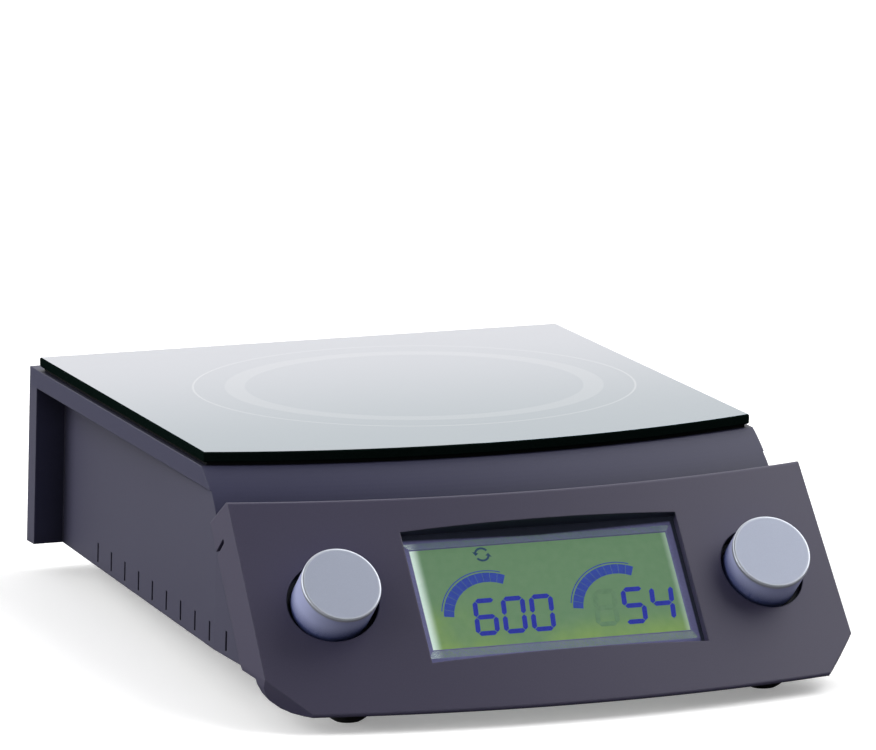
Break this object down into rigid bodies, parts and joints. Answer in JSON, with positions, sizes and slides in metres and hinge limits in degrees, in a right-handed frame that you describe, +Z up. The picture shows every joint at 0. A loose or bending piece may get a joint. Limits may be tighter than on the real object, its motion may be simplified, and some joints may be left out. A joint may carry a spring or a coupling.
{
  "type": "infrared laboratory hotplate",
  "caption": "Bench-top infrared laboratory hotplate with a bowed glass-ceramic plate, tilted fascia, liquid crystal display and two endless knobs.",
  "frame": {"origin": "on the bench, under the middle of the overall box", "axes": "+Z up, -Y towards the user at the front, +X to the right seen from the front; +Y is the longest extent"},
  "size_m": [0.2338, 0.347, 0.088],
  "materials": {
    "shell": "satin, fine grain",
    "ceramic": "polished",
    "silicone": "matte",
    "pane": "clear",
    "mask": "satin",
    "cell": "lit green",
    "diffuser": "milky",
    "board": "satin",
    "fixing": "satin",
    "black": "satin",
    "knob": "satin",
    "sheet": "dull",
    "insulation": "fibrous",
    "ribbon": "heat tinted",
    "quartz": "frosted",
    "steatite": "matte",
    "brass": "satin",
    "sink": "satin",
    "winding": "satin",
    "sleeve": "gloss",
    "terminal": "satin",
    "flat_cable": "satin",
    "lead_sleeve": "woven",
    "lead_pvc": "satin",
    "rocker": "satin",
    "base": "matte",
    "foot": "matte"
  },
  "bodies": {
    "chassis": {"housing": "shell", "fascia": "shell", "glass_plate": "ceramic", "glass_seal": "silicone", "display_pane": "pane", "display_mask": "mask", "display_cell": "cell", "display_backlight": "diffuser", "display_board": "board", "display_screws": "fixing", "temperature_encoder": "black", "temperature_nut": "fixing", "timer_encoder": "black", "timer_nut": "fixing", "heater_tray": "sheet", "heater_floor": "insulation", "heater_ring": "insulation", "heating_ribbon": "ribbon", "limiter_rod": "quartz", "limiter_head": "steatite", "heater_bracket": "sheet", "bracket_screws": "fixing", "power_board": "board", "board_spacers": "brass", "board_screws": "fixing", "heat_sink": "sink", "transformer": "winding", "relay": "black", "capacitor": "sleeve", "terminal_blocks": "terminal", "ribbon_cable": "flat_cable", "heater_leads": "lead_sleeve", "mains_leads": "lead_pvc", "mains_inlet": "black", "inlet_pins": "brass", "inlet_screws": "fixing", "switch_body": "black", "base_plate": "base", "base_screws": "fixing", "fascia_screws": "fixing", "foot_front_left": "foot", "foot_front_right": "foot", "foot_rear_left": "foot", "foot_rear_right": "foot", "foot_screws": "fixing"},
    "temperature_knob": {"temperature_knob": "knob", "temperature_shaft": "fixing"},
    "timer_knob": {"timer_knob": "knob", "timer_shaft": "fixing"},
    "rocker": {"power_rocker": "rocker"}
  },
  "joints": [
    {"name": "temperature_knob_turn", "type": "hinge", "parent": "chassis", "child": "temperature_knob", "pos_m": [-0.0857, -0.13941, 0.04864], "axis": [0, -0.7694, 0.6388], "continuous": true},
    {"name": "timer_knob_turn", "type": "hinge", "parent": "chassis", "child": "timer_knob", "pos_m": [0.0857, -0.13941, 0.04864], "axis": [0, -0.7694, 0.6388], "continuous": true},
    {"name": "power_rocker_tilt", "type": "hinge", "parent": "chassis", "child": "rocker", "pos_m": [0.016, 0.16848, 0.046], "axis": [-1, 0, 0], "range_deg": [0, 14]}
  ]
}
